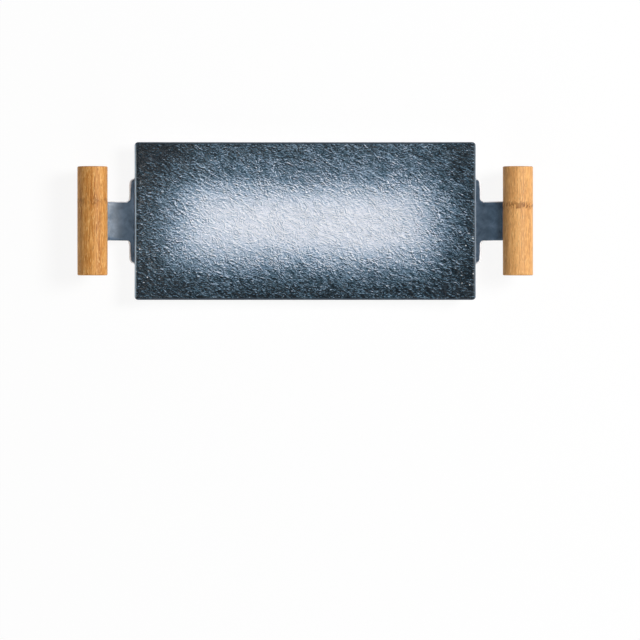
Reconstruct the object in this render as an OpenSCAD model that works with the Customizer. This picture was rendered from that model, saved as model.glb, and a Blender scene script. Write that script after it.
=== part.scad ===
// Rectangular sushi plate: a stoneware dish on a low foot, with a coloured glaze
// coat inside it and a lug at each end that is glued into a bamboo bar handle.
// Units are millimetres. X runs along the plate, Y across it, and Z is up.
// The origin is on the table, below the middle of the plate.

/* [Plate] */
// Length of the plate between its end rims
plate_l = 270; // [250:1:300]
// Width of the plate between its long rims
plate_w = 125; // [115:1:140]
// Radius of the plate's corners, seen from above
corner_r = 3; // [2:0.5:8]
// Height of the long rims at their middle
rim_h = 17.9; // [17:0.1:20]
// How much higher the four corners stand than the middle of the long rims
corner_rise = 3.8; // [2:0.1:6]
// Depth of the dish below the long rims, at the middle of the plate
dish_depth = 9.7; // [7:0.1:10.5]
// How far an end rim dips between its two corners
end_dip = 3.5; // [2:0.5:5]
// Height of the upright edge under the rim
edge_h = 5.2; // [4:0.1:6]
// Thickness of the coloured glaze coat
glaze_t = 0.6; // [0.4:0.1:1]

/* [Foot] */
// How far the foot stands in from an end rim, where it meets the plate
foot_in_l = 22; // [20:1:28]
// How far the foot stands in from a long rim, where it meets the plate
foot_in_w = 13.5; // [11:0.5:20]
// Height of the foot
foot_h = 5; // [4:0.1:5.5]
// How far the foot draws in on its way down to the table
foot_taper = 3.5; // [1:0.5:5]
// Width of the land that the plate stands on
foot_land = 4.5; // [3:0.5:8]
// Depth of the hollow inside the foot
foot_hollow = 3.2; // [2:0.1:3.6]

/* [Lugs] */
// Width of the shoulder where a lug leaves the plate
shoulder_w = 67; // [54:1:76]
// How far the shoulder stands out past the end rim
shoulder_out = 4.2; // [2:0.1:5]
// Width of the tongue that carries a handle
tongue_w = 31; // [24:1:38]
// Thickness of a lug
lug_t = 6.8; // [5.8:0.1:7.2]
// Slope of the tongue
tongue_angle = 25.5; // [22:0.5:28]
// Slope of the shoulder, down to the foot
shoulder_angle = 15; // [13:0.5:17]

/* [Handles] */
// Distance of a handle's axis from the end rim
handle_out = 33; // [30:0.5:40]
// Height of a handle's axis above the table
handle_z = 26.8; // [26.3:0.1:27.8]
// Diameter of a handle
handle_d = 24; // [22:0.5:28]
// Length of a handle
handle_l = 86; // [70:1:110]
// Chamfer round the ends of a handle
handle_chamfer = 0.6; // [0.3:0.1:1.5]
// How far below the handle's axis the middle of the tongue passes
tongue_drop = 0.5; // [0:0.1:1]
// Thickness of the glue between a tongue and its slot
glue_t = 0.5; // [0.3:0.1:0.7]
// How far the tongue goes past the handle's axis
tenon_past_axis = 5; // [3:0.5:7]

/* [Hidden] */
$fn = 96;

half_l = plate_l / 2;
half_w = plate_w / 2;
foot_l = plate_l - 2 * foot_in_l;
foot_w = plate_w - 2 * foot_in_w;
handle_x = half_l + handle_out;

// Steps round an outline: along a long side, along a short side and round a corner
long_steps = 16;
short_steps = 8;
corner_steps = 3;

// The glaze coat stops this far inside the rim, where the lip stays pale
lip_w = 1;
lip_drop = 0.9;
lip_crown = 0.15;
lip_crown_inset = 0.35;
coat_edge_t = 0.15;

// The curve across the dish is flat in the middle and steep at the rim
across_power = 3;
along_power = 2.5;
underside_power = 1.6;

// Rings of the dish, as shares of its outline, from the middle outwards
dish_shares = [0.12, 0.3, 0.5, 0.68, 0.82, 0.92, 0.975, 1];

// Inset and drop below the rim of the rings down the upright edge
edge_draft = 0.6;
turn_inset = 2.2;
turn_drop = 1.1;
underside_steps = 4;
foot_corner_r = 12;
foot_hollow_draft = 1.5;

// Lug bend, shoulder corners and the fillets beside the tongue
bend_r = 30;
bend_end_x = handle_x - 22;
lug_edge_r = 1.5;
shoulder_r = 3;
shoulder_side_r = 4.5;
fillet_r = 2;
step_gap = 0.2;
lug_root_x = foot_l / 2 - 4;
shoulder_x = half_l + shoulder_out;
round_steps = 3;
bend_steps = 4;

// The glue stops this far inside the mouth of the slot
glue_setback = 1;
slot_reach = handle_d;

body_colour = [0.93, 0.93, 0.92];
glaze_colour = [0.36, 0.43, 0.5];
bamboo_colour = [0.84, 0.62, 0.36];
glue_colour = [0.8, 0.74, 0.6];

function lerp(p, q, t) = p + (q - p) * t;

// Height of the plate's upper face: an arc along each long rim, with the dish hung between them
function top_z(x, y) =
    let (u = min(1, abs(x) / half_l), v = min(1, abs(y) / half_w))
    rim_h + corner_rise * u * u
    - (1 - pow(v, across_power)) * (end_dip + (dish_depth - end_dip) * (1 - pow(u, along_power)));

function corner_centre(i, a, b, r) = [(i == 0 || i == 3 ? 1 : -1) * (a - r), (i < 2 ? 1 : -1) * (b - r)];
function arc_point(c, r, angle) = c + r * [cos(angle), sin(angle)];

// Points round a rectangle of half sizes a and b with round corners, anticlockwise
function outline(a, b, r) = [
    for (i = [0:3])
        let (
            here = corner_centre(i, a, b, r),
            next = corner_centre((i + 1) % 4, a, b, r),
            steps = i % 2 == 0 ? long_steps : short_steps,
            start = arc_point(here, r, 90 * (i + 1)),
            end = arc_point(next, r, 90 * (i + 1))
        )
        each concat(
            [for (k = [0:corner_steps]) arc_point(here, r, 90 * (i + k / corner_steps))],
            [for (k = [1:steps - 1]) lerp(start, end, k / steps)]
        )
];

rim_outline = outline(half_l, half_w, corner_r);
lip_outline = outline(half_l - lip_w, half_w - lip_w, corner_r - lip_w);
foot_outline = outline(foot_l / 2, foot_w / 2, foot_corner_r);
around = len(rim_outline);

function inset_outline(inset) = outline(half_l - inset, half_w - inset, max(0.8, corner_r - inset));
function foot_inset(inset) =
    outline(foot_l / 2 - inset, foot_w / 2 - inset, max(1, foot_corner_r - inset));
function at_height(points, z) = [for (p = points) [p.x, p.y, z]];

// Rings of the upper face and, with a thickness, of the coat that lies on it
function coat_t(share) = share > 0.98 ? coat_edge_t : glaze_t;
function dish_ring(share, thickness = 0) =
    [for (p = lip_outline) let (q = share * p) [q.x, q.y, top_z(q.x, q.y) + thickness]];

// Ring of the edge: its height follows the rim that is above it
function edge_ring(inset, drop) =
    let (points = inset_outline(inset))
    [for (k = [0:around - 1])
        [points[k].x, points[k].y, top_z(rim_outline[k].x, rim_outline[k].y) - drop]];

// Ring of the underside, from the turn below the edge at t = 0 to the foot at t = 1
function underside_ring(t) =
    let (turn = edge_ring(turn_inset, edge_h + turn_drop))
    [for (k = [0:around - 1])
        let (xy = lerp([turn[k].x, turn[k].y], foot_outline[k], t))
        [xy.x, xy.y, lerp(foot_h, turn[k].z, pow(1 - t, underside_power))]];

// Faces of a closed skin: a point, rings of the same count, and a point, from the top to the bottom
function skin_faces(count, rings) = concat(
    [for (k = [0:count - 1]) [0, 1 + (k + 1) % count, 1 + k]],
    [for (i = [0:rings - 2], k = [0:count - 1])
        let (a = 1 + i * count + k, b = 1 + i * count + (k + 1) % count)
        each [[a, b, b + count], [a, b + count, a + count]]],
    [for (k = [0:count - 1])
        let (first = 1 + (rings - 1) * count)
        [rings * count + 1, first + k, first + (k + 1) % count]]
);

module skin(top, rings, bottom) {
    polyhedron(
        points = concat([top], [for (r = rings) each r], [bottom]),
        faces = skin_faces(len(rings[0]), len(rings))
    );
}

// Stoneware shell: dish, pale lip, upright edge, rounded underside and hollow foot
module shell() {
    rings = concat(
        [for (s = dish_shares) dish_ring(s)],
        [edge_ring(lip_crown_inset, lip_crown), edge_ring(0, lip_drop), edge_ring(edge_draft, edge_h)],
        [for (k = [0:underside_steps]) underside_ring(k / underside_steps)],
        [at_height(foot_inset(foot_taper), 0),
         at_height(foot_inset(foot_taper + foot_land), 0),
         at_height(foot_inset(foot_taper + foot_land + foot_hollow_draft), foot_hollow)]
    );
    skin([0, 0, top_z(0, 0)], rings, [0, 0, foot_hollow]);
}

// Middle line of a lug: flat through the shoulder, an upward bend, then the straight tongue
bend_end_z = handle_z - tongue_drop - (handle_x - bend_end_x) * tan(tongue_angle);
bend_start_x = bend_end_x - bend_r * (sin(tongue_angle) - sin(shoulder_angle));
bend_start_z = bend_end_z - bend_r * (cos(shoulder_angle) - cos(tongue_angle));

function lug_slope(x) =
    x > bend_end_x ? tongue_angle
    : x < bend_start_x ? shoulder_angle
    : asin(sin(tongue_angle) - (bend_end_x - x) / bend_r);

function lug_z(x) =
    x > bend_end_x ? bend_end_z + (x - bend_end_x) * tan(tongue_angle)
    : x < bend_start_x ? bend_start_z - (bend_start_x - x) * tan(shoulder_angle)
    : bend_end_z - bend_r * (cos(lug_slope(x)) - cos(tongue_angle));

// Cross-section of a lug, across its width and through its thickness, with round edges
function lug_section(half, thickness) = [
    for (i = [0:3], k = [0:round_steps])
        arc_point(corner_centre(i, half, thickness / 2, lug_edge_r), lug_edge_r, 90 * (i + k / round_steps))
];

function lug_ring(x, half) =
    let (slope = lug_slope(x), z = lug_z(x))
    [for (p = lug_section(half, lug_t)) [x - p.y * sin(slope), -p.x, z + p.y * cos(slope)]];

tenon_x = handle_x + tenon_past_axis * cos(tongue_angle);

// Places along a lug, each with the lug's half width there
function lug_stations() = concat(
    [[lug_root_x, shoulder_w / 2]],
    [for (k = [0:round_steps]) let (a = 90 * k / round_steps)
        [shoulder_x - shoulder_r * (1 - sin(a)), shoulder_w / 2 - shoulder_side_r * (1 - cos(a))]],
    [for (k = [0:round_steps]) let (a = 90 * k / round_steps)
        [shoulder_x + step_gap + fillet_r * (1 - cos(a)), tongue_w / 2 + fillet_r * (1 - sin(a))]],
    [for (k = [1:bend_steps])
        [lerp(shoulder_x + step_gap + fillet_r, bend_end_x, k / bend_steps), tongue_w / 2]],
    [[tenon_x, tongue_w / 2]]
);

// Lug of the right end, with the tenon that goes into the handle
module lug() {
    stations = lug_stations();
    rings = [for (s = stations) lug_ring(s[0], s[1])];
    last = stations[len(stations) - 1][0];
    skin([lug_root_x, 0, lug_z(lug_root_x)], rings, [last, 0, lug_z(last)]);
}

module plate_body() {
    color(body_colour) {
        shell();
        lug();
        mirror([1, 0, 0]) lug();
    }
}

// Coloured glaze: a coat of even thickness that thins out at the pale lip
module dish_glaze() {
    upper = [for (s = dish_shares) dish_ring(s, coat_t(s))];
    lower = [for (i = [len(dish_shares) - 1:-1:0]) dish_ring(dish_shares[i])];
    color(glaze_colour)
        skin([0, 0, top_z(0, 0) + glaze_t], concat(upper, lower), [0, 0, top_z(0, 0)]);
}

// Places a shape on the right tongue's middle line, under the handle's axis, with its Z along the
// tongue and pointing outwards
module along_tongue() {
    translate([handle_x, 0, handle_z - tongue_drop]) rotate([0, 90 - tongue_angle, 0]) children();
}

module rounded_rectangle(size_x, size_y, r) {
    square([size_x - 2 * r, size_y], center = true);
    square([size_x, size_y - 2 * r], center = true);
    for (x = [-1, 1], y = [-1, 1])
        translate([x * (size_x / 2 - r), y * (size_y / 2 - r)]) circle(r);
}

// Milled slot in the right handle, open towards the plate
module slot() {
    along_tongue()
        translate([0, 0, -slot_reach])
            linear_extrude(slot_reach + tenon_past_axis + glue_t)
                rounded_rectangle(lug_t + 2 * glue_t, tongue_w + 2 * glue_t, lug_edge_r + glue_t);
}

// The part of the lug inside the slot
module tenon() {
    along_tongue()
        translate([0, 0, -slot_reach])
            linear_extrude(slot_reach + tenon_past_axis)
                polygon([for (p = lug_section(tongue_w / 2, lug_t)) [p.y, p.x]]);
}

module bar(d, l, chamfer) {
    rotate([90, 0, 0])
        rotate_extrude()
            polygon([
                [0, -l / 2], [d / 2 - chamfer, -l / 2], [d / 2, chamfer - l / 2],
                [d / 2, l / 2 - chamfer], [d / 2 - chamfer, l / 2], [0, l / 2]
            ]);
}

// Turned bamboo bar with the slot for the tongue
module right_handle() {
    color(bamboo_colour)
        difference() {
            translate([handle_x, 0, handle_z]) bar(handle_d, handle_l, handle_chamfer);
            slot();
        }
}

module left_handle() {
    mirror([1, 0, 0]) right_handle();
}

// Set glue that fills the slot round the tenon
module right_glue() {
    color(glue_colour)
        difference() {
            intersection() {
                slot();
                translate([handle_x, 0, handle_z])
                    rotate([90, 0, 0]) cylinder(d = handle_d - 2 * glue_setback, h = handle_l, center = true);
            }
            tenon();
        }
}

module left_glue() {
    mirror([1, 0, 0]) right_glue();
}

plate_body();
dish_glaze();
left_handle();
right_handle();
left_glue();
right_glue();
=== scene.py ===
from math import asin, copysign, cos, hypot, radians, sin, tan

import bmesh
import bpy
from mathutils import Matrix, Vector, noise


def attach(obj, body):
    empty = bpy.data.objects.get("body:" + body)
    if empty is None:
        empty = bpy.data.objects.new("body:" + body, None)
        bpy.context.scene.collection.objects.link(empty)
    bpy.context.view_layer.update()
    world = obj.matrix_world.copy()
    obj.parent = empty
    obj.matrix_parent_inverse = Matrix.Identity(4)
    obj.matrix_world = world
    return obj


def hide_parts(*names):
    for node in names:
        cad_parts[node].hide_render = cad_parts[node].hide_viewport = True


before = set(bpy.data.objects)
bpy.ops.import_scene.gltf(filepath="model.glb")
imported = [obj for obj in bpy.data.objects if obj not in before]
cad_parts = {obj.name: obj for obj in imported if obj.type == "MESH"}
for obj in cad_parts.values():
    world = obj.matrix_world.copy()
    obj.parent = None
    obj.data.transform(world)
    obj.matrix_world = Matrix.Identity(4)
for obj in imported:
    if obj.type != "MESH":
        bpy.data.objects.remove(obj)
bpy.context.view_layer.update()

mm = 0.001  # sizes and places are given in millimetres, the scene is in metres
scene = bpy.context.scene
scene.view_settings.view_transform = "Standard"
print("frame loaded:", ", ".join(sorted(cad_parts)))


# node helpers

def tone(red, green, blue):  # a picked screen colour as a linear one
    parts = [c / 255 for c in (red, green, blue)]
    return (*[c / 12.92 if c <= 0.04045 else ((c + 0.055) / 1.055) ** 2.4 for c in parts], 1.0)


def put(tree, kind, inputs=None, **settings):
    node = tree.nodes.new("ShaderNode" + kind)
    for key, value in settings.items():
        setattr(node, key, value)
    for key, value in (inputs or {}).items():
        if isinstance(value, bpy.types.NodeSocket):
            tree.links.new(value, node.inputs[key])
        else:
            node.inputs[key].default_value = value
    return node


def split(tree, vector):
    return put(tree, "SeparateXYZ", {0: vector}).outputs


def attribute(tree, name):
    return put(tree, "Attribute", attribute_name=name).outputs["Fac"]


def calc(tree, operation, *values, clamp=False):
    return put(tree, "Math", dict(enumerate(values)), operation=operation, use_clamp=clamp).outputs[0]


def times(tree, first, *others):
    for other in others:
        first = calc(tree, "MULTIPLY", first, other)
    return first


def plus(tree, first, *others):
    for other in others:
        first = calc(tree, "ADD", first, other)
    return first


def minus(tree, first, second):
    return calc(tree, "SUBTRACT", first, second)


def addTimes(tree, base, value, gain):  # base + value * gain
    return calc(tree, "MULTIPLY_ADD", value, gain, base)


def larger(tree, first, second):
    return calc(tree, "MAXIMUM", first, second)


def sizeOf(tree, value):
    return calc(tree, "ABSOLUTE", value)


def mixed(tree, share, first, second):  # numbers, where blend is for colours
    return addTimes(tree, first, minus(tree, second, first), share)


def softStep(tree, value, low, high, toLow=0.0, toHigh=1.0):
    inputs = {"Value": value, "From Min": low, "From Max": high, "To Min": toLow, "To Max": toHigh}
    return put(tree, "MapRange", inputs, interpolation_type="SMOOTHSTEP").outputs[0]


def softStepMm(tree, place, low, high, toLow=0.0, toHigh=1.0):
    return softStep(tree, place, low * mm, high * mm, toLow, toHigh)


def window(tree, place, rise, fall):  # 1 within a stretch of millimetres
    return times(tree, softStepMm(tree, place, *rise), softStepMm(tree, place, *fall))


def leftRight(tree, x, left, right):  # one value on the left half, another on the right
    return softStepMm(tree, x, -50, 50, left, right)


def strokeOf(tree, value, centre, width):  # 1 where the value passes through centre
    return softStep(tree, sizeOf(tree, minus(tree, value, centre)), width, 0.0)


def blend(tree, factor, first, second, mode="MIX"):
    return put(tree, "Mix", {0: factor, 6: first, 7: second}, data_type="RGBA", blend_type=mode,
               clamp_factor=True).outputs[2]


def ramp(tree, factor, stops):
    node = put(tree, "ValToRGB", {"Fac": factor})
    marks = node.color_ramp.elements
    while len(marks) < len(stops):
        marks.new(0.5)
    for mark, (place, colour) in zip(marks, stops):
        mark.position = place
        mark.color = tone(*colour)
    return node.outputs["Color"]


def curve(tree, value, points):
    node = put(tree, "FloatCurve", {"Value": value})
    line = node.mapping.curves[0]
    while len(line.points) < len(points):
        line.points.new(0.5, 0.5)
    for point, place in zip(line.points, points):
        point.location = place
    node.mapping.update()
    return node.outputs[0]


def placed(tree, where, scale=(1, 1, 1), turn=(0, 0, 0), shift=(0, 0, 0)):
    inputs = {"Vector": where, "Scale": scale, "Rotation": turn, "Location": shift}
    return put(tree, "Mapping", inputs).outputs[0]


def grain(tree, where, scale, detail=3.0, rough=0.55, warp=0.0):
    inputs = {"Vector": where, "Scale": scale, "Detail": detail, "Roughness": rough, "Distortion": warp}
    return put(tree, "TexNoise", inputs).outputs["Fac"]


def cells(tree, where, scale):
    return put(tree, "TexVoronoi", {"Vector": where, "Scale": scale}, feature="F1").outputs


def swayed(tree, base, source, scale, reach, detail):  # base moved about by a noise that is read at source
    sway = put(tree, "TexNoise", {"Vector": source, "Scale": scale, "Detail": detail}).outputs["Color"]
    sway = put(tree, "VectorMath", {0: sway, 1: (0.5, 0.5, 0.5)}, operation="SUBTRACT").outputs[0]
    moves = {0: sway, 1: (reach[0] * mm, reach[1] * mm, 0.0), 2: base}
    return put(tree, "VectorMath", moves, operation="MULTIPLY_ADD").outputs[0]


def bump(tree, height, distance, strength):
    return put(tree, "Bump", {"Height": height, "Distance": distance * mm, "Strength": strength}).outputs[0]


def newMaterial(name):
    material = bpy.data.materials.new(name)
    material.use_nodes = True
    tree = material.node_tree
    tree.nodes.clear()
    shader = put(tree, "BsdfPrincipled")
    end = put(tree, "OutputMaterial")
    tree.links.new(shader.outputs[0], end.inputs["Surface"])
    where = put(tree, "TexCoord").outputs["Object"]
    return material, tree, shader, where


def feed(tree, shader, **sockets):
    names = dict(colour="Base Color", rough="Roughness", normal="Normal")
    for key, value in sockets.items():
        tree.links.new(value, shader.inputs[names[key]])


# mesh helpers

def pick(geom, kind):
    return [g for g in geom if isinstance(g, kind)]


def ease(value, low, high):
    t = min(1.0, max(0.0, (value - low) / (high - low)))
    return t * t * (3 - 2 * t)


def softCorner(y, n, halfW, halfT, r):  # rounds the corners of a box section
    dy, dn = abs(y) - (halfW - r), abs(n) - (halfT - r)
    if dy > 1e-6 and dn > 1e-6:
        pull = max(dy, dn) / hypot(dy, dn)
        y, n = copysign(halfW - r + dy * pull, y), copysign(halfT - r + dn * pull, n)
    return y, n


def bevelEdges(bm, edges, offset, segments, clamp=False):
    bmesh.ops.bevel(bm, geom=edges, offset=offset, offset_type="OFFSET", segments=segments, profile=0.5,
                    affect="EDGES", clamp_overlap=clamp, material=-1)


def openEdges(bm):
    return sum(not e.is_manifold for e in bm.edges)


def finishPiece(bm, name, material, slotName, *nodes):
    bmesh.ops.recalc_face_normals(bm, faces=bm.faces[:])
    bmesh.ops.scale(bm, vec=(mm, mm, mm), verts=bm.verts[:])
    mesh = bpy.data.meshes.new(name)
    bm.to_mesh(mesh)
    bm.free()
    mesh.shade_smooth()
    mesh.materials.append(material)
    piece = bpy.data.objects.new(name, mesh)
    scene.collection.objects.link(piece)
    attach(piece, "root")
    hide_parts(*nodes)
    print(name, "has", len(mesh.polygons), "faces")
    return piece


# stage: camera straight above, soft key from the right, pale floor; in metres

stageSet = dict(
    aim=(0.0117, -0.0783, 0.019), lens=320, sensor=36, distance=4.501, farClip=50,
    keyFrom=(2.2, 0.7, 2.9), keySize=1.4, keyPower=132,
    fillFrom=(-0.3, -3.0, 1.6), fillSize=2.0, fillPower=24,
    zenith=0.16, horizon=1.0, zenithFrom=0.75, worldPower=0.5,
    floorHalf=6, floorCells=8, floorTone=0.93, floorGlow=0.9,
)


def seenDirectly(tree):  # rays that show the backdrop, straight or by mirror and glass
    rays = put(tree, "LightPath").outputs
    direct = plus(tree, rays["Is Camera Ray"], rays["Is Glossy Ray"])
    return calc(tree, "ADD", direct, rays["Is Transmission Ray"], clamp=True)


def setCamera():
    camera = bpy.data.objects.new("camera", bpy.data.cameras.new("camera"))
    camera.data.lens = stageSet["lens"]
    camera.data.sensor_width = stageSet["sensor"]
    camera.data.clip_end = stageSet["farClip"]
    camera.location = Vector(stageSet["aim"]) + Vector((0, 0, stageSet["distance"]))
    scene.collection.objects.link(camera)
    scene.camera = camera


def setLamp(name):
    lamp = bpy.data.lights.new(name, "AREA")
    lamp.shape = "DISK"
    lamp.size = stageSet[name + "Size"]
    lamp.energy = stageSet[name + "Power"]
    stand = bpy.data.objects.new(name, lamp)
    stand.location = stageSet[name + "From"]
    stand.rotation_euler = (-stand.location).to_track_quat("-Z", "Y").to_euler()
    scene.collection.objects.link(stand)


def setWorld():
    world = bpy.data.worlds.new("studio")
    scene.world = world
    world.use_nodes = True
    tree = world.node_tree
    tree.nodes.clear()
    up = split(tree, put(tree, "TexCoord").outputs["Generated"])["Z"]
    level = softStep(tree, up, 0.0, stageSet["zenithFrom"], stageSet["horizon"], stageSet["zenith"])
    power = softStep(tree, seenDirectly(tree), 0.0, 1.0, stageSet["worldPower"], 1.0)
    light = put(tree, "Background", {"Color": (1, 1, 1, 1), "Strength": times(tree, level, power)})
    tree.links.new(light.outputs[0], put(tree, "OutputWorld").inputs["Surface"])


def paleFloor():
    material = bpy.data.materials.new("paleFloor")
    material.use_nodes = True
    tree = material.node_tree
    tree.nodes.clear()
    matte = put(tree, "BsdfDiffuse", {"Color": (*[stageSet["floorTone"]] * 3, 1)})
    white = put(tree, "Emission", {"Color": (1, 1, 1, 1), "Strength": 1.0})
    glow = times(tree, seenDirectly(tree), stageSet["floorGlow"])  # the rest keeps the shadow
    both = put(tree, "MixShader", {0: glow, 1: matte.outputs[0], 2: white.outputs[0]})
    tree.links.new(both.outputs[0], put(tree, "OutputMaterial").inputs["Surface"])
    return material


def setFloor():
    bm = bmesh.new()
    count = stageSet["floorCells"]
    bmesh.ops.create_grid(bm, x_segments=count, y_segments=count, size=stageSet["floorHalf"])
    floorMesh = bpy.data.meshes.new("floor")
    bm.to_mesh(floorMesh)
    bm.free()
    floor = bpy.data.objects.new("floor", floorMesh)
    scene.collection.objects.link(floor)
    floorMesh.materials.append(paleFloor())


setCamera()
setLamp("key")
setLamp("fill")
setWorld()
setFloor()
print("stage set")


# plate: rings pulled from one rounded outline, then the lugs pulled out of its ends

plate = dict(
    halfLong=135, halfShort=62.5, cornerR=3, cornerCuts=6, rimH=17.9, cornerRise=3.8, dishDepth=9.7,
    endDip=3.5, endPower=2.5, sidePower=3, leastR=0.5, leastFootR=2.0,
    # inset and drop of each ring
    lip=[(1.0, 0.0), (0.7, 0.03), (0.45, 0.11), (0.25, 0.25), (0.1, 0.48), (0.02, 0.72), (0.0, 0.95)],
    edge=[(0.13, 1.9), (0.3, 3.0), (0.48, 4.2), (0.62, 5.0), (0.95, 5.55), (1.5, 5.98), (2.2, 6.3)],
    underSteps=12, underPower=1.6, footLong=113, footShort=49, footR=12, footTop=5.0,
    foot=[(0.9, 3.7), (1.75, 2.5), (2.6, 1.3), (3.15, 0.5), (3.5, 0.12), (3.9, 0.0), (7.6, 0.0), (8.0, 0.12),
          (8.3, 0.5), (9.0, 2.2), (9.4, 2.95), (10.0, 3.2)],  # inset, height
    dishShares=(0.975, 0.92, 0.82, 0.68, 0.5, 0.3, 0.12), longCuts=131, shortCuts=67, weld=0.002,
)

lug = dict(
    halfPatch=35, column=1.75, rootColumn=9, wingColumn=18, lastColumn=20, tongueColumn=7, rootHalf=17.5,
    thick=6.8, edgeR=1.5, bendStart=140.85, bendR=30, startZ=13.91, startSlope=15, tongueSlope=25.5,
    shoulder=[(136.2, 33.5, 0.0), (137.2, 33.24, 0.0), (138.0, 32.6, 0.0), (138.55, 31.75, 0.2),
              (138.95, 30.75, 0.6), (139.2, 29.0, 1.3)],  # place, half width, drop of the upper edge
    tongue=[(139.3, 17.1, 0.3), (139.6, 16.4, 0.7), (140.2, 15.8, 1.1)]  # place, half width, corner
           + [(x, 15.5, 1.5) for x in (141.2, 142.5, 143.8, 145.0, 146.2, 152, 158, 165, 172.5)],
    wallShare=0.7, fillet=0.85, filletCuts=3, webDrop=0.35, webFrom=(0.5, 0.85),
    underSoft=2.4, softX=(135.5, 139.5), softY=(17, 19.5),  # the wings' soft outer edge
)


def dishZ(x, y):
    u = min(1.0, abs(x) / plate["halfLong"])
    v = min(1.0, abs(y) / plate["halfShort"])
    dip = plate["endDip"] + (plate["dishDepth"] - plate["endDip"]) * (1 - u ** plate["endPower"])
    return plate["rimH"] + plate["cornerRise"] * u * u - (1 - v ** plate["sidePower"]) * dip


def lugLine(x):  # height and slope of the lug's middle line
    first, last = radians(lug["startSlope"]), radians(lug["tongueSlope"])
    bendEnd = lug["bendStart"] + lug["bendR"] * (sin(last) - sin(first))
    if x <= lug["bendStart"]:
        return lug["startZ"] - (lug["bendStart"] - x) * tan(first), first
    slope = min(last, asin(min(sin(last), (x - lug["bendStart"]) / lug["bendR"] + sin(first))))
    return lug["startZ"] + lug["bendR"] * (cos(first) - cos(slope)) + max(0.0, x - bendEnd) * tan(last), slope


def lugPoint(side, x, y, n):  # n is the distance above the middle line
    z, slope = lugLine(x)
    return Vector((side * (x - n * sin(slope)), y, z + n * cos(slope)))


stoneware = dict(
    white=((236, 237, 240), (247, 247, 249)), paintedFootShade=(222, 216, 208), paintedFootShadeZ=(16.5, 4.5), paintedFootShadeShare=0.7,
    speckScale=260, speckKept=(0.93, 0.95), speckSize=(0.16, 0.05), speckShare=0.45,
    speckTone=(150, 136, 118),
    ragScale=420, rag=0.2, ragDepth=4, lipFacing=(0.4, 0.64), lugX=(134.9, 135.1), lugY=(37.0, 36.2),
    coatDepth=(1.6, 0.8), dripY=(20, 30), dripDepth=0.8, wingX=(138.0, 138.7), wingY=(16.5, 18.5),
    backEdgeHighlightX=(140.0, 141.5), backEdgeHighlightY=((14.5, 15.0), (16.5, 16.0)), backEdgeHighlightShare=-0.85,
    topFrom=130, topScale=20, topAt=(134, 138, 140, 142, 144, 146, 150, 160, 175),  # the lug's upper face
    slateTones=[(0.28, (52, 70, 88)), (0.5, (70, 90, 109)), (0.7, (90, 109, 130))],
    leftPaintedReflection=(145.5, 157.5, 0.66, 1.15), rightPaintedLight=(140.0, 158.0, 0.75, 1.8),  # painted reflection at the left, painted light at the right; from, to, tone from, tone to
    rootLightX=((134.7, 134.9), (136.6, 135.6)), rootLightLift=2.2,
    lipX=(134.3, 134.7), lipShare=0.55, lipTone=(38, 47, 55),
    endLineX=((133.85, 134.1), (135.05, 134.85)), endLineY=(62, 60), endLineTone=(178, 201, 220),
    landFacing=(-0.75, -0.92), landZ=(0.6, 0.2), clay=((196, 184, 168), (222, 214, 203)),
    waveDepth=0.6, specular=0.42,
)


def slateCover(tree, where, place, facing, outX, outY):  # where slate glaze covers the lips and the lug tops
    look = stoneware
    ragged = times(tree, minus(tree, grain(tree, where, look["ragScale"], 3), 0.5), look["rag"])
    onLip = softStep(tree, plus(tree, facing["Z"], ragged), *look["lipFacing"])
    onLug = times(tree, softStepMm(tree, outX, *look["lugX"]), softStepMm(tree, outY, *look["lugY"]))
    start, scale = look["topFrom"] * mm, look["topScale"]
    tops = [lugPoint(1, x, 0, lug["thick"] / 2) * mm for x in look["topAt"]]
    points = [((p.x - start) * scale, p.z * scale) for p in tops]
    topZ = curve(tree, addTimes(tree, -start * scale, outX, scale), points)
    depth = minus(tree, calc(tree, "DIVIDE", topZ, scale), place["Z"])  # below the lug's upper face
    depth = addTimes(tree, depth, ragged, look["ragDepth"] * mm)
    depth = plus(tree, depth, softStepMm(tree, outY, *look["dripY"], 0.0, look["dripDepth"] * mm))
    cover = mixed(tree, onLug, onLip, softStepMm(tree, depth, *look["coatDepth"]))
    wing = times(tree, softStepMm(tree, outX, *look["wingX"]), softStepMm(tree, outY, *look["wingY"]))
    cover = times(tree, cover, minus(tree, 1.0, wing))
    backEdgeHighlight = window(tree, place["Y"], *look["backEdgeHighlightY"])  # painted highlight on the tongue's rounded back edge, where the slate gives way to white
    backEdgeHighlight = times(tree, backEdgeHighlight, softStepMm(tree, outX, *look["backEdgeHighlightX"]))
    return times(tree, cover, addTimes(tree, 1.0, backEdgeHighlight, look["backEdgeHighlightShare"]))


def slateTint(tree, where, place, outX, outY):  # the covering glaze, darker by the plate than by the bars: a painted reflection on the left lug, painted light against the bar's shadow on the right
    look = stoneware
    patchy = grain(tree, where, 150, 5, 0.6, 0.3)
    colour = ramp(tree, patchy, look["slateTones"])
    onRight = softStepMm(tree, place["X"], -10, 10)
    # painted reflection on the left lug, painted light lifting the bar's shadow on the right
    leftPaintedReflection, rightPaintedLight = (softStepMm(tree, outX, *look[name]) for name in ("leftPaintedReflection", "rightPaintedLight"))
    level = mixed(tree, onRight, leftPaintedReflection, rightPaintedLight)
    leftRootLight = times(tree, window(tree, outX, *look["rootLightX"]), minus(tree, 1.0, onRight))
    level = addTimes(tree, level, leftRootLight, look["rootLightLift"])  # painted light: a pale line at the left lug's root, lifting the rim's shadow
    colour = put(tree, "VectorMath", {0: colour, "Scale": level}, operation="SCALE").outputs[0]
    lip = minus(tree, 1.0, softStepMm(tree, outX, *look["lipX"]))
    colour = blend(tree, times(tree, lip, look["lipShare"]), colour, tone(*look["lipTone"]))
    endLine = times(tree, window(tree, outX, *look["endLineX"]), softStepMm(tree, outY, *look["endLineY"]))
    endLine = times(tree, endLine, leftRight(tree, place["X"], 0.85, 0.2))  # worn pale; the extra at the left is painted light, where the lip faces the key light
    endLine = times(tree, endLine, softStep(tree, patchy, 0.25, 0.6, 0.6, 1.0))
    return blend(tree, endLine, colour, tone(*look["endLineTone"]))


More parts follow.
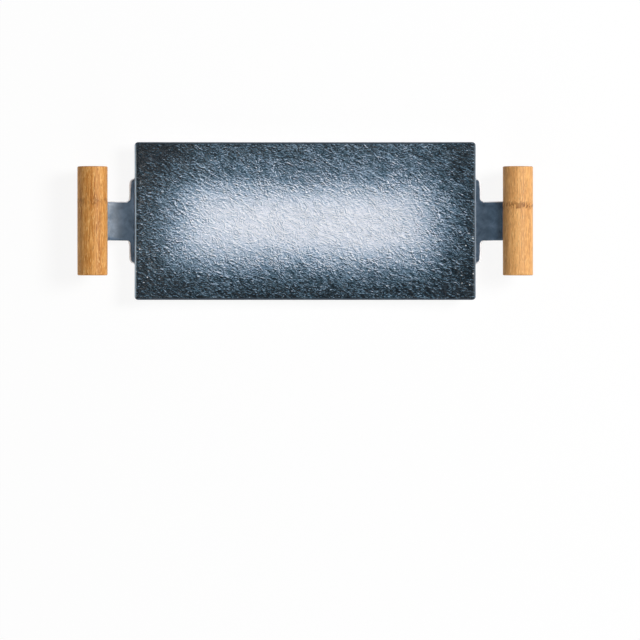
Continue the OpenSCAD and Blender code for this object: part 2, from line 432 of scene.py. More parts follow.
def whiteStoneware():
    look = stoneware
    material, tree, shader, where = newMaterial("whiteStoneware")
    place = split(tree, where)
    facing = split(tree, put(tree, "NewGeometry").outputs["Normal"])
    outX, outY = sizeOf(tree, place["X"]), sizeOf(tree, place["Y"])
    cloud = grain(tree, where, 45, 4, 0.6)
    white = blend(tree, cloud, *[tone(*shade) for shade in look["white"]])
    paintedFootShade = softStepMm(tree, place["Z"], *look["paintedFootShadeZ"], 0.0, look["paintedFootShadeShare"])
    white = blend(tree, paintedFootShade, white, tone(*look["paintedFootShade"]))  # painted shade: darker and warmer towards the foot
    specks = cells(tree, where, look["speckScale"])
    chosen = softStep(tree, split(tree, specks["Color"])["X"], *look["speckKept"])
    speck = times(tree, chosen, softStep(tree, specks["Distance"], *look["speckSize"]), look["speckShare"])
    white = blend(tree, speck, white, tone(*look["speckTone"]))
    slate = slateCover(tree, where, place, facing, outX, outY)
    colour = blend(tree, slate, white, slateTint(tree, where, place, outX, outY))
    # dry, wiped foot land
    land = softStep(tree, facing["Z"], *look["landFacing"])
    land = times(tree, land, softStepMm(tree, place["Z"], *look["landZ"]))
    clay = blend(tree, grain(tree, where, 900, 3, 0.7), *[tone(*shade) for shade in look["clay"]])
    colour = blend(tree, land, colour, clay)
    rough = addTimes(tree, softStep(tree, cloud, 0.3, 0.7, 0.16, 0.24), land, 0.55)
    slateRough = softStepMm(tree, outX, 140, 156, 0.6, 0.05)  # glossier towards the bars
    rough = addTimes(tree, rough, slate, slateRough)
    wave = addTimes(tree, grain(tree, where, 70, 2), grain(tree, where, 1100, 2), 0.05)
    feed(tree, shader, colour=colour, rough=rough, normal=bump(tree, wave, look["waveDepth"], 0.5))
    shader.inputs["Specular IOR Level"].default_value = look["specular"]
    return material


def ringPoint(v, marks, halfX, halfY, corner):  # a vertex's place on a rounded outline of another size
    core, out = v[marks["core"]], v[marks["out"]]
    return core.x * (halfX - corner) + out.x * corner, core.y * (halfY - corner) + out.y * corner


def insetPoint(v, marks, inset):
    corner = max(plate["leastR"], plate["cornerR"] - inset)
    return ringPoint(v, marks, plate["halfLong"] - inset, plate["halfShort"] - inset, corner)


def rimZ(v, marks):
    return dishZ(*ringPoint(v, marks, plate["halfLong"], plate["halfShort"], plate["cornerR"]))


def rootY(v, marks):  # place across the plate, without the corner rounding
    return v[marks["core"]].y * (plate["halfShort"] - plate["cornerR"])


def startOutline(bm, marks):
    a, b, r = plate["halfLong"], plate["halfShort"], plate["cornerR"]
    bmesh.ops.create_grid(bm, x_segments=1, y_segments=1, size=1)
    bmesh.ops.scale(bm, vec=(a, b, 1), verts=bm.verts[:])
    bmesh.ops.bevel(bm, geom=bm.verts[:], offset=r, offset_type="OFFSET", segments=plate["cornerCuts"],
                    profile=0.5, affect="VERTICES", material=-1)
    bmesh.ops.delete(bm, geom=bm.faces[:], context="FACES_ONLY")
    longEdges = [e for e in bm.edges if e.calc_length() > 2 * b]
    shortEdges = [e for e in bm.edges if b < e.calc_length() < 2 * b]
    bmesh.ops.subdivide_edges(bm, edges=longEdges, cuts=plate["longCuts"])
    bmesh.ops.subdivide_edges(bm, edges=shortEdges, cuts=plate["shortCuts"])
    for v in bm.verts:
        core = Vector((max(-1, min(1, v.co.x / (a - r))), max(-1, min(1, v.co.y / (b - r))), 0))
        v[marks["core"]] = core
        v[marks["out"]] = Vector((v.co.x - core.x * (a - r), v.co.y - core.y * (b - r), 0)).normalized()


def pullRing(bm, edges):
    made = bmesh.ops.extrude_edge_only(bm, edges=edges)["geom"]
    verts = pick(made, bmesh.types.BMVert)
    mine = set(verts)
    return verts, [e for e in pick(made, bmesh.types.BMEdge) if e.verts[0] in mine and e.verts[1] in mine]


def underPoint(v, marks, t):  # from the wall's lower edge at 0 to the foot at 1
    inset, drop = plate["edge"][-1]
    high = Vector(insetPoint(v, marks, inset))
    low = Vector(ringPoint(v, marks, plate["footLong"], plate["footShort"], plate["footR"]))
    z = plate["footTop"] + (rimZ(v, marks) - drop - plate["footTop"]) * (1 - t) ** plate["underPower"]
    if abs(v[marks["out"]].x) > 0.99 and abs(rootY(v, marks)) < lug["halfPatch"] + 0.1:
        z -= lug["webDrop"] * ease(t, *lug["webFrom"])  # room for the lug's web to meet the foot
    return (*high.lerp(low, t), z)


def footPoint(v, marks, inset, z):
    corner = max(plate["leastFootR"], plate["footR"] - inset)
    return (*ringPoint(v, marks, plate["footLong"] - inset, plate["footShort"] - inset, corner), z)


def dishPoint(v, marks, share):
    x, y = (part * share for part in insetPoint(v, marks, plate["lip"][0][0]))
    return x, y, dishZ(x, y)


def pullShell(bm, marks):  # lip, wall, underside and foot downwards, then the dish inwards
    startVerts, startEdges = bm.verts[:], bm.edges[:]
    steps = [lambda v, inset=inset, drop=drop: (*insetPoint(v, marks, inset), rimZ(v, marks) - drop)
             for inset, drop in plate["lip"] + plate["edge"]]
    under = plate["underSteps"]
    steps += [lambda v, t=(k + 1) / under: underPoint(v, marks, t) for k in range(under)]
    steps += [lambda v, inset=inset, z=z: footPoint(v, marks, inset, z) for inset, z in plate["foot"]]
    verts, edges = startVerts, startEdges
    for count, place in enumerate(steps):
        if count:
            verts, edges = pullRing(bm, edges)
        for v in verts:
            v.co = place(v)
            v[marks["ring"]] = count
    edges = startEdges
    for share in plate["dishShares"]:
        verts, edges = pullRing(bm, edges)
        for v in verts:
            v.co = dishPoint(v, marks, share)
            v[marks["ring"]] = -1
    bmesh.ops.holes_fill(bm, edges=[e for e in bm.edges if e.is_boundary])
    print("plate shell has", len(steps), "rings")


def rowLift(row, corner):  # place through the lug's thickness, most of it drawn from the plate's wall
    wallRows = len(plate["edge"])
    rows = wallRows + plate["underSteps"] + 1
    halfT = lug["thick"] / 2
    ends = [halfT, halfT - corner / 2, halfT - corner]
    if row <= 2:
        return ends[row]
    if row >= rows - 2:
        return -ends[rows - row]
    if row <= wallRows:
        share = lug["wallShare"] * (row - 2) / (wallRows - 2)
    else:
        share = lug["wallShare"] + (1 - lug["wallShare"]) * (row - wallRows) / (rows - 2 - wallRows)
    return ends[2] * (1 - 2 * share)


def pullFaces(bm, faces):
    made = bmesh.ops.extrude_face_region(bm, geom=faces)["geom"]
    left = [f for f in faces if f.is_valid]
    if left:
        bmesh.ops.delete(bm, geom=left, context="FACES")
    return pick(made, bmesh.types.BMFace), pick(made, bmesh.types.BMVert)


def shoulderPoint(side, k, row, x, halfW, drop):  # k counts columns out from the lug's middle
    halfT, edgeR, root, wing = lug["thick"] / 2, lug["edgeR"], lug["rootColumn"], lug["wingColumn"]
    flat, away = halfW - edgeR, abs(k)
    if away <= root:
        y = k / root * lug["rootHalf"]
    elif away <= wing:
        y = copysign(lug["rootHalf"] + (away - root) / (wing - root) * (flat - lug["rootHalf"]), k)
    else:
        y = copysign(flat + (away - wing) / (lug["lastColumn"] - wing) * edgeR, k)
    y, n = softCorner(y, rowLift(row, edgeR), halfW, halfT, edgeR)
    soft = drop if n > 0 else lug["underSoft"] * ease(x, *lug["softX"])
    n *= 1 - soft / halfT * ease(abs(y), *lug["softY"])  # on the wings only
    return lugPoint(side, x, y, n)


def tonguePoint(side, k, row, x, halfW, corner):
    last, away = lug["tongueColumn"], abs(k)
    y = k / last * (halfW - corner)
    if away > last:
        y = copysign(halfW - corner + (away - last) / (lug["rootColumn"] - last) * corner, k)
    y, n = softCorner(y, rowLift(row, corner), halfW, lug["thick"] / 2, corner)
    return lugPoint(side, x, y, n)


def pullLug(bm, marks, side):  # returns the edges where the lug leaves the wall
    ring, out = marks["ring"], marks["out"]
    firstRing = len(plate["lip"])  # just below the lip
    wallRing = firstRing + len(plate["edge"])
    lastRing = wallRing + plate["underSteps"] + 1  # part way down the foot

    def onRoot(v):
        return (v[out].x * side > 0.99 and abs(rootY(v, marks)) < lug["halfPatch"] + 0.1
                and firstRing <= v[ring] <= lastRing)

    def column(v):
        return round(rootY(v, marks) / lug["column"])

    faces = [f for f in bm.faces if all(onRoot(v) for v in f.verts)]
    inside = set(faces)
    rootEdges = [e for f in faces for e in f.edges if sum(g in inside for g in e.link_faces) == 1]
    seams = [e for e in rootEdges if max(v[ring] for v in e.verts) <= wallRing]  # the rest stay crisp
    for point, sections in ((shoulderPoint, lug["shoulder"]), (tonguePoint, lug["tongue"])):
        if point is tonguePoint:
            faces = [f for f in faces if all(abs(column(v)) <= lug["rootColumn"] for v in f.verts)]
        for section in sections:
            faces, verts = pullFaces(bm, faces)
            for v in verts:
                v.co = point(side, column(v), v[ring] - firstRing, *section)
    return seams


def makePlate(material):
    bm = bmesh.new()
    layers = bm.verts.layers
    marks = dict(
        core=layers.float_vector.new("core"),  # place on the outline, without its corner rounding
        out=layers.float_vector.new("out"),  # way out of the outline
        ring=layers.int.new("ring"),
    )
    startOutline(bm, marks)
    pullShell(bm, marks)
    seams = [e for side in (1, -1) for e in pullLug(bm, marks, side)]
    bevelEdges(bm, [e for e in seams if e.is_valid], lug["fillet"], lug["filletCuts"], clamp=True)
    bmesh.ops.remove_doubles(bm, verts=bm.verts[:], dist=plate["weld"])
    print("plate open edges:", openEdges(bm))
    for name in ("core", "out"):
        layers.float_vector.remove(layers.float_vector[name])
    layers.int.remove(layers.int["ring"])
    return finishPiece(bm, "plateBody", material, "white_stoneware", "plate_body")


# glaze coat: a closed sheet, its top cut fine and wrinkled

coat = dict(
    halfLong=134, halfShort=61.5, cornerR=2, thick=0.6, edgeThick=0.15, cells=(89, 41), cuts=4,
    relief=0.3, rimShare=0.25, fadeIn=2.6, edgeOver=(-0.2, 1.6), litStep=0.45, seed=1,
    lean=-30, drift=(0.03, 4.7, 6), curl=(0.3, 9.2, 1),  # scale, seed, reach
    scales=(0.05, 0.13, 3.3, 3.0, 0.11), chips=(0.16, 0.32, 6.1, 2.2, 0.16),  # scales, seed, steps, softness
    # scales, shift, seed, sharpness
    crease=(0.045, 0.2, 0, 0.3, 6.0), web=(0.33, 0.6, 11, 2.1, 3.6), pits=(0.35, 0.62, 3, 8.4, 3.6),
    broad=(0.07, 1.4),
)

glaze = dict(
    middleX=1, swayScale=60, swayReach=(14, 8),  # how far the fade's edge wanders
    # from the middle to the ends, and from front to back
    fadeX=[(0, 1), (0.45, 0.98), (0.6, 0.92), (0.67, 0.8), (0.8, 0.43), (0.9, 0.19), (1, 0.05)],
    fadeY=[(0, 0.05), (0.11, 0.18), (0.2, 0.42), (0.31, 0.8), (0.4, 0.97), (0.5, 1.0), (0.6, 0.95),
           (0.7, 0.71), (0.81, 0.34), (0.9, 0.25), (1, 0.17)],
    rightPaler=0.05, backRightPaler=5.0, cornerX=(-40, -120), cornerY=(20, 55), cornerDarker=0.08,
    runX=((-5, 40), (120, 85)), runY=((-52, -36), (-8, -20)), runPaler=0.05,
    paleGain=1.13, paleBase=-0.079, paleScale=0.85,
    # turn, scale, stretch, patch scale, strength, shift
    dashes=[(28, 1300, 0.17, 130, 1.0, (0.2, 0, 0)), (4, 1260, 0.2, 150, 1.0, (0, 0.4, 0)),
            (48, 860, 0.13, 70, 0.9, (0.6, 0.2, 0)), (-20, 1240, 0.25, 140, 0.8, (0.3, 0.7, 0)),
            (16, 1950, 0.26, 160, 1.0, (0.8, 0.1, 0))],
    bends=[(55, 14), (380, 1.4)], dashStep=0.5, dashShare=0.35,
    foldTurn=34, foldScale=150, foldStep=0.7, foldWidth=0.022, foldCrest=0.8,
    lines=[(36, 120), (20, 90), (48, 150)], lineStretch=0.42, lineStep=0.6, lineWidth=0.03,  # turn, scale
    slaty=[(12, 560, 1.9), (-25, 660, 1.3)], slatyStretch=0.5, slatyStep=0.35,  # turn, scale, gain
    slatyGain=[(0, 0.9), (0.25, 0.95), (0.5, 1.0), (0.8, 0.8), (1, 0.5)],  # each by how pale the glaze is
    edgeGain=[(0, 0.75), (0.25, 0.85), (0.5, 1.0), (0.8, 0.7), (1, 0.3)],
    crestGain=[(0, 0.4), (0.25, 0.54), (0.5, 0.66), (0.8, 0.46), (1, 0.32)],
    grooveGain=[(0, 0.08), (0.25, 0.24), (0.5, 0.48), (0.8, 0.54), (1, 0.44)],
    heightShare=0.02, edgeShare=0.31, strokeShare=0.03, shareBase=-0.04,
    tones=[(0.0, (12, 24, 32)), (0.085, (29, 46, 56)), (0.17, (51, 74, 87)), (0.306, (85, 111, 128)),
           (0.476, (130, 154, 176)), (0.646, (175, 191, 209)), (0.782, (212, 219, 232)),
           (0.85, (230, 233, 243)), (1.0, (249, 250, 254))],
    duskTone=(56, 58, 70), duskShare=0.16, bareAndLitX=(133.3, 133.8), bareAndLitTone=(178, 191, 194),
    glintScale=330, glintKept=(0.74, 0.76), glintSize=(0.2, 0.1), glintX=(0.86, 0.94), glintY=(0.5, 0.36),
    glintTone=(236, 240, 243), fineTones=((40, 48, 56), (232, 236, 242)), creaseDepth=0.22, specular=0.3,
)


def glazeFade(tree, where):  # how pale the glaze is, with the shares of the dish that it is read from
    look = glaze
    at = split(tree, swayed(tree, where, where, look["swayScale"], look["swayReach"], 2.0))
    fromMiddle = sizeOf(tree, plus(tree, at["X"], -look["middleX"] * mm))
    alongX = calc(tree, "DIVIDE", fromMiddle, coat["halfLong"] * mm)
    acrossY = addTimes(tree, 0.5, at["Y"], 0.5 / (coat["halfShort"] * mm))  # 0 at the front, 1 at the back
    pale = times(tree, curve(tree, alongX, look["fadeX"]), curve(tree, acrossY, look["fadeY"]))
    pale = times(tree, pale, addTimes(tree, 1.0, at["X"], look["rightPaler"]))
    corner = softStepMm(tree, at["X"], *look["cornerX"])
    corner = times(tree, corner, softStepMm(tree, at["Y"], *look["cornerY"]))
    pale = minus(tree, pale, times(tree, corner, look["cornerDarker"]))  # the back left corner
    backRight = times(tree, at["X"], larger(tree, at["Y"], 0.0))
    pale = addTimes(tree, pale, backRight, look["backRightPaler"])  # the back rim lightens towards the right
    run = times(tree, window(tree, at["X"], *look["runX"]), window(tree, at["Y"], *look["runY"]))
    pale = addTimes(tree, pale, run, look["runPaler"])  # the pale glaze ran to the front right
    return addTimes(tree, look["paleBase"], pale, look["paleGain"]), alongX, acrossY


def laid(tree, where, turn, step, stretch):  # turned in the dish, moved a step across and stretched
    turned = placed(tree, where, turn=(0, 0, radians(turn)), shift=(0.4 * step * mm, step * mm, 0))
    return placed(tree, turned, scale=(stretch, 1, 1))


def shortCreases(tree, where):  # dashes in several directions, each a crest beside a groove: painted emboss, a pale lit flank beside a dark shaded one
    crest = groove = 0.0
    for turn, scale, stretch, patch, strength, shift in glaze["dashes"]:
        moving = placed(tree, where, shift=shift)
        bent = where
        for often, reach in glaze["bends"]:
            bent = swayed(tree, bent, moving, often, (reach, reach), 1.0)
        turned = placed(tree, bent, turn=(0, 0, radians(turn)))
        shown = times(tree, softStep(tree, grain(tree, moving, patch, 2), 0.36, 0.58, 0.4, 1.0), strength)
        upperAt = placed(tree, turned, scale=(stretch, 1, 1))
        upper = softStep(tree, grain(tree, upperAt, scale, 1, 0.4), 0.58, 0.67)
        lowerAt = placed(tree, turned, scale=(stretch, 1, 1), shift=(0, glaze["dashStep"] * mm, 0))
        lower = softStep(tree, grain(tree, lowerAt, scale, 1, 0.4), 0.56, 0.66)
        crest = larger(tree, crest, times(tree, upper, shown))
        groove = larger(tree, groove, times(tree, lower, shown))
    return crest, groove


# painted emboss: a pale fold line beside a dark one, as a lit and a shaded flank
def longFolds(tree, where):
    folded = laid(tree, where, glaze["foldTurn"], 0.0, glaze["lineStretch"])
    beside = placed(tree, folded, shift=(0, glaze["foldStep"] * mm, 0))
    kept = softStep(tree, grain(tree, placed(tree, where, shift=(0.9, 0.5, 0)), 48, 2), 0.40, 0.52)
    lower, upper = (strokeOf(tree, grain(tree, at, glaze["foldScale"], 2, 0.55, 0.5), 0.5, glaze["foldWidth"])
                    for at in (folded, beside))
    return times(tree, upper, kept, glaze["foldCrest"]), times(tree, lower, kept)


def thinLine(tree, where, turn, scale):  # a wandering line, pale on its lit side and dark on the other
    patch = grain(tree, placed(tree, where, shift=(0.1 * turn, 0.3, 0)), 140, 2)
    kept = softStep(tree, patch, 0.42, 0.58, 0.5, 1.0)
    sides = []
    for step in (0.0, glaze["lineStep"]):
        wander = grain(tree, laid(tree, where, turn, step, glaze["lineStretch"]), scale, 3, 0.6, 0.8)
        sides.append(times(tree, strokeOf(tree, wander, 0.5, glaze["lineWidth"]), kept))
    return sides


def slatyGrain(tree, where, turn, scale):  # fine ridges, lit from the back
    slopes = []
    for step in (0.0, glaze["slatyStep"]):
        at = laid(tree, where, turn, step, glaze["slatyStretch"])
        inputs = {"Vector": at, "Scale": scale, "Detail": 1.0, "Roughness": 0.6, "Lacunarity": 2.1,
                  "Distortion": 0.5}
        ridged = put(tree, "TexNoise", inputs, noise_type="RIDGED_MULTIFRACTAL", normalize=True)
        slopes.append(ridged.outputs[0])
    return minus(tree, *slopes)


def glazeCreases(tree, where):  # painted highlight and shade on the crease flanks; the glaze also breaks pale on crests and pools dark in grooves
    crest, groove = shortCreases(tree, where)
    foldCrest, foldGroove = longFolds(tree, where)
    crest = times(tree, larger(tree, crest, foldCrest), glaze["dashShare"])
    groove = times(tree, larger(tree, groove, foldGroove), glaze["dashShare"])
    for turn, scale in glaze["lines"]:
        lit, dark = thinLine(tree, where, turn, scale)
        crest, groove = larger(tree, crest, lit), larger(tree, groove, dark)
    return crest, groove


def slateGlaze():
    look = glaze
    material, tree, shader, where = newMaterial("slateGlaze")
    pale, alongX, acrossY = glazeFade(tree, where)
    crest, groove = glazeCreases(tree, where)
    share = times(tree, attribute(tree, "relief"), look["heightShare"])
    litEdge = times(tree, attribute(tree, "litEdge"), curve(tree, pale, look["edgeGain"]))
    share = addTimes(tree, share, litEdge, look["edgeShare"])  # wrinkles are pale on their lit sides
    for turn, scale, gain in look["slaty"]:
        lit = times(tree, slatyGrain(tree, where, turn, scale), curve(tree, pale, look["slatyGain"]))
        share = addTimes(tree, share, lit, gain)
    share = addTimes(tree, share, crest, curve(tree, pale, look["crestGain"]))
    share = minus(tree, share, times(tree, groove, curve(tree, pale, look["grooveGain"])))
    brushed = placed(tree, where, turn=(0, 0, radians(16)), scale=(1.0, 2.0, 1.0))
    strokes = grain(tree, brushed, 130, 5, 0.66, 0.8)
    pale = addTimes(tree, pale, minus(tree, strokes, 0.5), look["strokeShare"])
    pale = plus(tree, pale, plus(tree, share, look["shareBase"]))
    pale = calc(tree, "MULTIPLY", pale, look["paleScale"], clamp=True)
    colour = ramp(tree, pale, look["tones"])
    dusk = times(tree, softStep(tree, grain(tree, where, 26, 3), 0.58, 0.74), look["duskShare"])
    dusk = times(tree, dusk, softStep(tree, pale, 0.45, 0.1))  # warmer clouds where it is dark
    colour = blend(tree, dusk, colour, tone(*look["duskTone"]))
    x = split(tree, where)["X"]
    bareAndLit = times(tree, softStepMm(tree, sizeOf(tree, x), *look["bareAndLitX"]), leftRight(tree, x, 0.7, 0.1))
    colour = blend(tree, bareAndLit, colour, tone(*look["bareAndLitTone"]))  # thin on the end lips; the extra at the left is painted light, where the lips face the key light
    glintCells = cells(tree, where, look["glintScale"])
    glint = softStep(tree, split(tree, glintCells["Color"])["X"], *look["glintKept"])
    glint = times(tree, glint, softStep(tree, glintCells["Distance"], *look["glintSize"]))
    glint = times(tree, glint, softStep(tree, alongX, *look["glintX"]), softStep(tree, acrossY, *look["glintY"]))
    colour = blend(tree, glint, colour, tone(*look["glintTone"]))  # painted glints: bright specks of reflected light near the front corners
    fine = softStep(tree, grain(tree, where, 1500, 2, 0.7), 0.3, 0.7)
    fine = blend(tree, fine, *[tone(*shade) for shade in look["fineTones"]])
    colour = blend(tree, 0.5, colour, fine, "SOFT_LIGHT")
    rough = softStep(tree, strokes, 0.3, 0.7, 0.22, 0.32)
    normal = bump(tree, minus(tree, crest, groove), look["creaseDepth"], 0.9)
    feed(tree, shader, colour=colour, rough=rough, normal=normal)
    shader.inputs["Specular IOR Level"].default_value = look["specular"]
    return material


def noiseAt(x, y, scale, seed):
    return noise.noise_vector(Vector((x * scale, y * scale, seed)))


def ridge(x, y, scaleX, scaleY, shift, seed, sharp):
    return max(0.0, 1 - abs(noise.noise(Vector((x * scaleX + shift, y * scaleY, seed)))) * sharp)


def flake(x, y, scaleX, scaleY, seed, steps, soft):  # gently tilted scales that end in quick steps
    level = steps * noise.noise(Vector((x * scaleX, y * scaleY, seed)))
    part = level % 1.0
    return ease(part, 0.5 - soft, 0.5 + soft) - part


def wrinkleAt(x, y):  # about -1 in a valley to 1 on a ridge
    px, py = x, y
    for scale, seed, reach in (coat["drift"], coat["curl"]):
        sway = noiseAt(x, y, scale, seed)
        px, py = px + reach * sway.x, py + reach * sway.y
    lean = radians(coat["lean"])
    along, across = px * cos(lean) + py * sin(lean), py * cos(lean) - px * sin(lean)
    scales = flake(along, across, *coat["scales"])
    chips = flake(px, py, *coat["chips"])
    crease = ridge(along, across, *coat["crease"])
    web = ridge(px, py, *coat["web"])
    pits = ridge(px, py, *coat["pits"])
    scale, seed = coat["broad"]
    broad = noise.noise(Vector((x * scale, y * scale, seed)))
    sharp = 0.9 * crease ** 2 + 0.35 * web ** 1.5 - 0.35 * pits ** 1.5
    return 0.8 * scales + 0.45 * chips + sharp + 0.2 * broad


def makeCoat(material):
    noise.seed_set(coat["seed"])  # vector noise would follow the clock
    bm = bmesh.new()
    relief = bm.verts.layers.float.new("relief")  # -1 in the valleys, 1 on the ridges
    litEdge = bm.verts.layers.float.new("litEdge")  # above 0 on slopes lit from the back right
    a, b = coat["halfLong"], coat["halfShort"]
    bmesh.ops.create_grid(bm, x_segments=coat["cells"][0], y_segments=coat["cells"][1], size=1)
    bmesh.ops.scale(bm, vec=(a, b, 1), verts=bm.verts[:])
    made = bmesh.ops.extrude_face_region(bm, geom=bm.faces[:])["geom"]
    bmesh.ops.translate(bm, vec=(0, 0, 1), verts=pick(made, bmesh.types.BMVert))
    topEdges = list(dict.fromkeys(e for f in pick(made, bmesh.types.BMFace) for e in f.edges))
    bmesh.ops.subdivide_edges(bm, edges=topEdges, cuts=coat["cuts"], use_grid_fill=True)
    for v in bm.verts:
        top = v.co.z > 0.5
        x, y = softCorner(v.co.x, v.co.y, a, b, coat["cornerR"])
        z = dishZ(x, y)
        if top:
            toEdge = min(a - abs(x), b - abs(y))
            fade = ease(toEdge, 0, coat["fadeIn"])
            wrinkle = wrinkleAt(x, y)
            v[relief] = max(-1.0, min(1.0, wrinkle)) * (coat["rimShare"] + (1 - coat["rimShare"]) * fade)
            v[litEdge] = wrinkle - wrinkleAt(x + coat["litStep"], y + coat["litStep"])
            z += coat["edgeThick"] + (coat["thick"] - coat["edgeThick"]) * ease(toEdge, *coat["edgeOver"])
            z += coat["relief"] * v[relief] * fade
        v.co = (x, y, z)
    print("coat open edges:", openEdges(bm))
    return finishPiece(bm, "glazeCoat", material, "slate_glaze", "dish_glaze")


# bars: turned, eased at the ends, faintly swollen at the node, slotted for the tongue

bar = dict(
    atX=168, atZ=26.8, radius=11.99, length=86, segments=96, lengthCuts=55, endEase=0.9, endCuts=4,
    nodeY={-1: 15.2, 1: 12.2}, nodeHalf=1.6, nodeLift=0.14, sag=0.16, skinShare=0.7, endFrom=42,
    slotAcross=32, slotThick=7.8, slotR=2, slotCuts=5, slotPast=5.5, slotSpare=6, slotSlope=25.5,
    slotDrop=0.5, mouthEase=0.3, mouthCuts=2, mouthAngle=42, sharpAngle=38,
)

bamboo = dict(
    tones=[(0.32, (156, 92, 35)), (0.42, (190, 125, 58)), (0.51, (212, 149, 79)), (0.60, (230, 170, 99)),
           (0.70, (245, 193, 125))],
    dashTone=(136, 80, 30), dashShare=0.5, sheenTone=(252, 210, 138), sheenShare=0.45,
    rightLitTone=(250, 206, 152), rightLitShare=0.2,
    ringHalf=(3.8, 1.4), ringWander=7.5, ringTone=(186, 124, 62), ringShare=0.25,
    ringDashTone=(112, 64, 26), ringDashShare=0.85,
    endTones=[(0.0, (126, 70, 24)), (0.2, (166, 102, 40)), (0.42, (222, 154, 72)), (0.8, (240, 178, 98))],
    poreScale=1500, streakTurn=-42, streakTone=(138, 80, 28), skinR=(10.3, 11.4), skinTone=(120, 70, 28),
    skinShare=0.55, rightEndTone=(128, 78, 32), rightEndShare=0.3, grooveDepth=0.12, specular=0.22,
)


def fibre(tree, where, stretch, scale, detail, rough=0.55, shift=(0, 0, 0)):  # grain drawn out along the bar
    return grain(tree, placed(tree, where, scale=(1, stretch, 1), shift=shift), scale, detail, rough)


def nodeRing(tree, where, place, colour):  # short dark fibres, crowded together in the node ring
    look = bamboo
    wander = times(tree, minus(tree, grain(tree, where, 420, 2), 0.5), look["ringWander"] * mm)
    ringAt = leftRight(tree, place["X"], bar["nodeY"][-1] * mm, bar["nodeY"][1] * mm)
    away = sizeOf(tree, minus(tree, plus(tree, place["Y"], wander), ringAt))
    part = softStep(tree, grain(tree, where, 75, 2), 0.35, 0.6, 0.6, 1.0)
    part = times(tree, part, leftRight(tree, place["X"], 0.45, 1.0))  # fainter on the left bar
    ring = times(tree, softStepMm(tree, away, *look["ringHalf"]), part)
    colour = blend(tree, times(tree, ring, look["ringShare"]), colour, tone(*look["ringTone"]))
    dash = softStep(tree, fibre(tree, where, 0.36, 760, 1, 0.5, (0.1, 0.3, 0)), 0.46, 0.56)
    return blend(tree, times(tree, ring, dash, look["ringDashShare"]), colour, tone(*look["ringDashTone"]))


def endGrain(tree, where, place):  # speckled, with denser wood under the skin
    look = bamboo
    pores = cells(tree, placed(tree, where, scale=(1, 0.02, 1)), look["poreScale"])["Distance"]
    colour = ramp(tree, pores, look["endTones"])
    turned = placed(tree, where, turn=(0, radians(look["streakTurn"]), 0))
    streak = grain(tree, placed(tree, turned, scale=(0.16, 0.02, 1)), 1000, 2, 0.6)
    colour = blend(tree, softStep(tree, streak, 0.5, 0.66, 0.0, 0.5), colour, tone(*look["streakTone"]))
    fromAxis = put(tree, "CombineXYZ", {"X": minus(tree, sizeOf(tree, place["X"]), bar["atX"] * mm),
                                        "Z": minus(tree, place["Z"], bar["atZ"] * mm)}).outputs[0]
    reach = put(tree, "VectorMath", {0: fromAxis}, operation="LENGTH").outputs["Value"]
    skin = times(tree, softStepMm(tree, reach, *look["skinR"]), look["skinShare"])
    colour = blend(tree, skin, colour, tone(*look["skinTone"]))
    darker = leftRight(tree, place["X"], 0.0, look["rightEndShare"])
    return blend(tree, darker, colour, tone(*look["rightEndTone"]))


def bambooWood():
    look = bamboo
    material, tree, shader, where = newMaterial("bambooWood")
    place = split(tree, where)
    facing = split(tree, put(tree, "NewGeometry").outputs["Normal"])
    fibres = fibre(tree, where, 0.07, 1150, 2, 0.6)
    bands = fibre(tree, where, 0.04, 330, 3, 0.6, (0.4, 0, 0.2))
    broad = fibre(tree, where, 0.3, 60, 3)
    woven = plus(tree, times(tree, fibres, 0.55), times(tree, bands, 0.35), times(tree, broad, 0.1))
    colour = ramp(tree, woven, look["tones"])
    dash = softStep(tree, fibre(tree, where, 0.12, 1700, 1, 0.5), 0.57, 0.67)
    colour = blend(tree, times(tree, dash, look["dashShare"]), colour, tone(*look["dashTone"]))
    sheen = softStep(tree, fibre(tree, where, 0.14, 1700, 1, 0.5, (0.5, 0.1, 0)), 0.58, 0.68)
    colour = blend(tree, times(tree, sheen, look["sheenShare"]), colour, tone(*look["sheenTone"]))
    rightBarLit = leftRight(tree, place["X"], 0.0, look["rightLitShare"])
    colour = blend(tree, rightBarLit, colour, tone(*look["rightLitTone"]))  # painted light: the right bar is a little paler, as it sits nearer the key light
    colour = nodeRing(tree, where, place, colour)
    endFace = softStep(tree, sizeOf(tree, facing["Y"]), 0.6, 0.85)
    colour = blend(tree, endFace, colour, endGrain(tree, where, place))
    rough = addTimes(tree, softStep(tree, woven, 0.35, 0.65, 0.46, 0.58), endFace, 0.2)
    groove = minus(tree, fibres, times(tree, dash, 0.4))
    feed(tree, shader, colour=colour, rough=rough, normal=bump(tree, groove, look["grooveDepth"], 0.5))
    shader.inputs["Specular IOR Level"].default_value = look["specular"]
    return material


def turnedBar(side):
    bm = bmesh.new()
    radius = bar["radius"]
    bmesh.ops.create_cone(bm, cap_ends=True, segments=bar["segments"], radius1=radius, radius2=radius,
                          depth=bar["length"])
    rims = [e for e in bm.edges if abs(e.verts[0].co.z - e.verts[1].co.z) < 1e-6]
    bevelEdges(bm, rims, bar["endEase"], bar["endCuts"])
    lengths = [e for e in bm.edges if e.calc_length() > bar["length"] / 2]
    bmesh.ops.subdivide_edges(bm, edges=lengths, cuts=bar["lengthCuts"], use_grid_fill=True)
    bmesh.ops.rotate(bm, matrix=Matrix.Rotation(radians(-90), 3, "X"), verts=bm.verts[:])  # to lie along Y
    for v in bm.verts:
        reach = hypot(v.co.x, v.co.z)
        if reach > bar["skinShare"] * radius:
            spot = Vector((v.co.x * 0.05 + 7 * side, v.co.y * 0.03, v.co.z * 0.05))
            wear = bar["sag"] * (0.5 + 0.5 * noise.noise(spot))
            if abs(v.co.y) < bar["endFrom"]:
                fromNode = (v.co.y - bar["nodeY"][side]) / bar["nodeHalf"]
                wear = max(0.0, wear - bar["nodeLift"] * max(0.0, 1 - fromNode ** 2))
            fit = 1 - wear / reach
            v.co.x *= fit
            v.co.z *= fit
    bmesh.ops.translate(bm, vec=(side * bar["atX"], 0, bar["atZ"]), verts=bm.verts[:])
    return bm


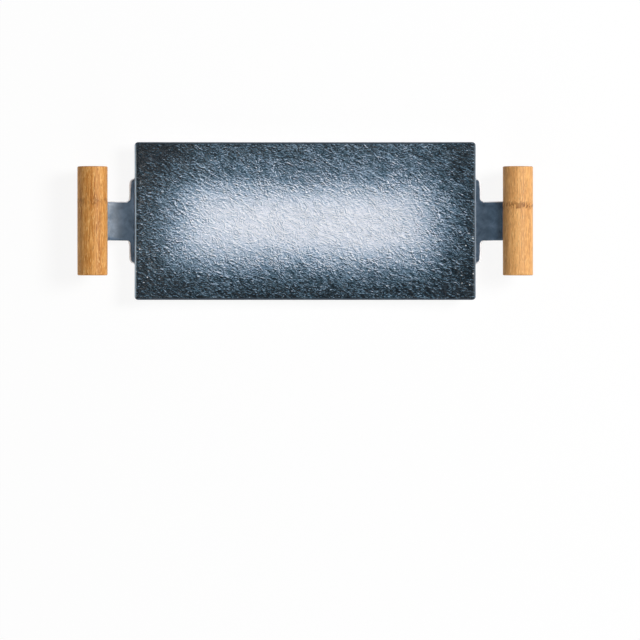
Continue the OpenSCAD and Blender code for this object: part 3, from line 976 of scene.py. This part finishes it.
def slotCutter(side):  # runs along the tongue and stops just past the axis
    bm = bmesh.new()
    bmesh.ops.create_cube(bm, size=1)
    deep = bar["radius"] + bar["slotSpare"] + bar["slotPast"]
    bmesh.ops.scale(bm, vec=(deep, bar["slotAcross"], bar["slotThick"]), verts=bm.verts[:])
    bmesh.ops.translate(bm, vec=(bar["slotPast"] - deep / 2, 0, 0), verts=bm.verts[:])
    along = [e for e in bm.edges if abs(e.verts[0].co.x - e.verts[1].co.x) > 1]
    bevelEdges(bm, along, bar["slotR"], bar["slotCuts"])
    bmesh.ops.rotate(bm, matrix=Matrix.Rotation(radians(-bar["slotSlope"]), 3, "Y"), verts=bm.verts[:])
    bmesh.ops.translate(bm, vec=(bar["atX"], 0, bar["atZ"] - bar["slotDrop"]), verts=bm.verts[:])
    bmesh.ops.scale(bm, vec=(side * mm, mm, mm), verts=bm.verts[:])
    bmesh.ops.recalc_face_normals(bm, faces=bm.faces[:])
    mesh = bpy.data.meshes.new("slotCutter")
    bm.to_mesh(mesh)
    bm.free()
    cutter = bpy.data.objects.new("slotCutter", mesh)
    scene.collection.objects.link(cutter)
    return cutter


def makeBar(side, name, material, node):
    piece = finishPiece(turnedBar(side), name, material, "bamboo", node)
    cutter = slotCutter(side)
    cut = piece.modifiers.new("slot", "BOOLEAN")
    cut.operation = "DIFFERENCE"
    cut.solver = "EXACT"
    cut.object = cutter
    soft = piece.modifiers.new("mouth", "BEVEL")
    soft.width = bar["mouthEase"] * mm
    soft.segments = bar["mouthCuts"]
    soft.limit_method = "ANGLE"
    soft.angle_limit = radians(bar["mouthAngle"])
    shaped = bpy.data.meshes.new_from_object(piece.evaluated_get(bpy.context.evaluated_depsgraph_get()))
    piece.modifiers.clear()
    plain, cutMesh = piece.data, cutter.data
    piece.data = shaped
    bpy.data.meshes.remove(plain)
    shaped.name = name
    bpy.data.objects.remove(cutter)
    bpy.data.meshes.remove(cutMesh)
    shaped.set_sharp_from_angle(angle=radians(bar["sharpAngle"]))
    print(name, "slotted,", len(shaped.polygons), "faces")
    return piece


# set glue: the CAD solids stay and take a finish

glueTones = [(0.3, (70, 50, 32)), (0.55, (104, 78, 50)), (0.75, (134, 104, 70))]


def setGlue():
    material, tree, shader, where = newMaterial("setGlue")
    cloud = grain(tree, where, 320, 4, 0.6)
    feed(tree, shader, colour=ramp(tree, cloud, glueTones),
         rough=softStep(tree, cloud, 0.3, 0.7, 0.3, 0.5), normal=bump(tree, cloud, 0.3, 0.6))
    return material


makePlate(whiteStoneware())
makeCoat(slateGlaze())
bambooFinish = bambooWood()
makeBar(-1, "leftBar", bambooFinish, "left_handle")
makeBar(1, "rightBar", bambooFinish, "right_handle")

glue = setGlue()
for nodeName in ("left_glue", "right_glue"):
    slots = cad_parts[nodeName].data.materials
    slots.clear()
    slots.append(glue)
print("glue finished")
